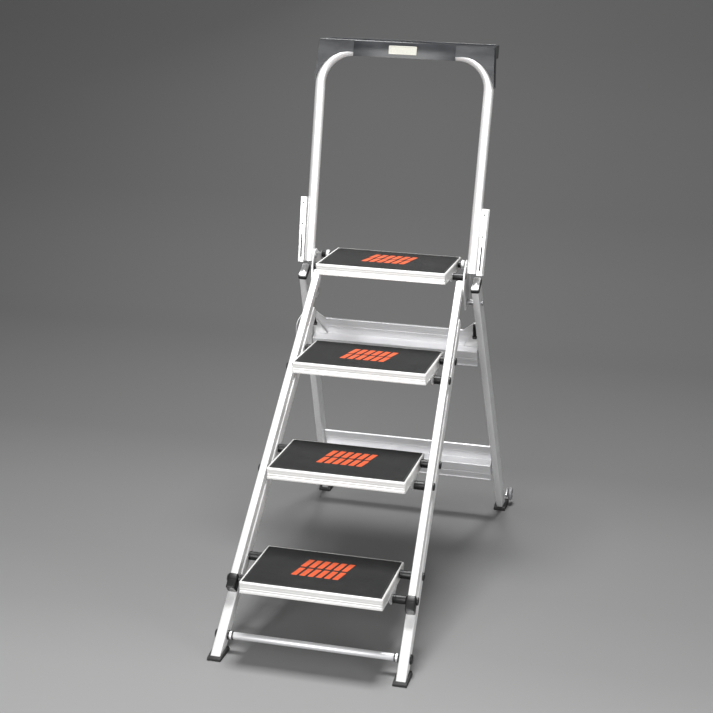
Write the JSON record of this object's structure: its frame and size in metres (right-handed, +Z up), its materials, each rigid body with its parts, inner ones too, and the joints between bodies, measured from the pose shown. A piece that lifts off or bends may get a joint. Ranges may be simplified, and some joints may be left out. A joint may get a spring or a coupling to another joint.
{
  "type": "platform step ladder",
  "caption": "Folding aluminium step ladder with rubber-matted treads, a standing platform, a hoop handrail carrying a shallow tool tray, and small wheels behind the rear feet.",
  "frame": {"origin": "on the floor under the middle of the ladder's open footprint", "axes": "+Z up, +X towards the ladder's right side as seen from in front of the treads, +Y from the treads towards the rear legs"},
  "size_m": [0.6568, 1.4155, 1.509],
  "materials": {
    "satin_aluminium": "bright satin extrusion",
    "black_plastic": "moulded, fine texture",
    "tread_rubber": "fine ribbed",
    "smoked_plastic": "gloss",
    "blank_plate": "plain",
    "zinc_steel": "zinc plated",
    "grey_plastic": "moulded"
  },
  "bodies": {
    "front_frame": {"rail_upper_left": "satin_aluminium", "rail_upper_right": "satin_aluminium", "rail_boot_left": "black_plastic", "rail_boot_right": "black_plastic", "rail_plug_left": "black_plastic", "rail_plug_right": "black_plastic", "head_plate_left": "satin_aluminium", "head_plate_right": "satin_aluminium"},
    "rear_frame": {"rear_leg_left": "satin_aluminium", "rear_leg_right": "satin_aluminium", "leg_bolt_left": "zinc_steel", "leg_bolt_right": "zinc_steel", "leg_collar_left": "black_plastic", "leg_collar_right": "black_plastic", "rear_foot_left": "black_plastic", "rear_foot_right": "black_plastic", "rear_bar_lower": "satin_aluminium", "rear_bar_upper": "satin_aluminium", "bar_gusset_left": "satin_aluminium", "bar_gusset_right": "satin_aluminium", "wheel_bracket_left": "zinc_steel", "wheel_bracket_right": "zinc_steel", "wheel_axle_left": "zinc_steel", "wheel_axle_right": "zinc_steel"},
    "step_1": {"step_1_frame": "satin_aluminium", "step_1_mat": "tread_rubber", "rod_front_step_1": "black_plastic", "rod_rear_step_1": "black_plastic"},
    "step_2": {"step_2_frame": "satin_aluminium", "step_2_mat": "tread_rubber", "rod_front_step_2": "black_plastic", "rod_rear_step_2": "black_plastic"},
    "step_3": {"step_3_frame": "satin_aluminium", "step_3_mat": "tread_rubber", "rod_front_step_3": "black_plastic", "rod_rear_step_3": "black_plastic"},
    "platform": {"platform_frame": "satin_aluminium", "platform_mat": "tread_rubber", "rod_front_platform": "black_plastic", "rod_rear_platform": "black_plastic"},
    "leg_frame": {"rail_lower_left": "satin_aluminium", "rail_lower_right": "satin_aluminium", "front_foot_left": "black_plastic", "front_foot_right": "black_plastic", "bottom_rung": "satin_aluminium", "rung_bushing_left": "black_plastic", "rung_bushing_right": "black_plastic"},
    "handrail": {"handrail_tube": "satin_aluminium", "tool_tray": "smoked_plastic", "name_plate": "blank_plate", "hand_channel_left": "satin_aluminium", "hand_channel_right": "satin_aluminium", "hand_bolt_left": "zinc_steel", "hand_bolt_right": "zinc_steel"},
    "wheel_l": {"wheel_left": "grey_plastic"},
    "wheel_r": {"wheel_right": "grey_plastic"}
  },
  "joints": [
    {"name": "fold", "type": "hinge", "parent": "front_frame", "child": "rear_frame", "pos_m": [0, 0.16721, 0.79], "axis": [-1, 0, 0], "range_deg": [0, 75]},
    {"name": "step_1_tilt", "type": "hinge", "parent": "front_frame", "child": "step_1", "pos_m": [0, -0.56035, 0.1686], "axis": [-1, 0, 0], "range_deg": [0, 134.75]},
    {"name": "step_2_tilt", "type": "hinge", "parent": "front_frame", "child": "step_2", "pos_m": [0, -0.33335, 0.3976], "axis": [-1, 0, 0], "range_deg": [0, 134.75]},
    {"name": "step_3_tilt", "type": "hinge", "parent": "front_frame", "child": "step_3", "pos_m": [0, -0.10635, 0.6266], "axis": [-1, 0, 0], "range_deg": [0, 134.75]},
    {"name": "leg_frame_swing", "type": "hinge", "parent": "step_1", "child": "leg_frame", "pos_m": [0, -0.47875, 0.20261], "axis": [1, 0, 0], "range_deg": [0, 134.75]},
    {"name": "platform_tilt", "type": "hinge", "parent": "front_frame", "child": "platform", "pos_m": [0, 0.12075, 0.871], "axis": [1, 0, 0], "range_deg": [0, 45.25]},
    {"name": "handrail_tilt", "type": "hinge", "parent": "front_frame", "child": "handrail", "pos_m": [0, 0.13249, 0.897], "axis": [-1, 0, 0], "range_deg": [0, 33.55]},
    {"name": "wheel_l_spin", "type": "hinge", "parent": "rear_frame", "child": "wheel_l", "pos_m": [0, 0.68175, 0.038], "axis": [1, 0, 0], "continuous": true},
    {"name": "wheel_r_spin", "type": "hinge", "parent": "rear_frame", "child": "wheel_r", "pos_m": [0, 0.68175, 0.038], "axis": [1, 0, 0], "continuous": true}
  ],
  "couplings": [
    {"joint": "step_1_tilt", "follows": "fold", "ratio": 1.7967},
    {"joint": "step_2_tilt", "follows": "fold", "ratio": 1.7967},
    {"joint": "step_3_tilt", "follows": "fold", "ratio": 1.7967},
    {"joint": "leg_frame_swing", "follows": "fold", "ratio": 1.7967},
    {"joint": "platform_tilt", "follows": "fold", "ratio": 0.60334},
    {"joint": "handrail_tilt", "follows": "fold", "ratio": 0.44732}
  ]
}
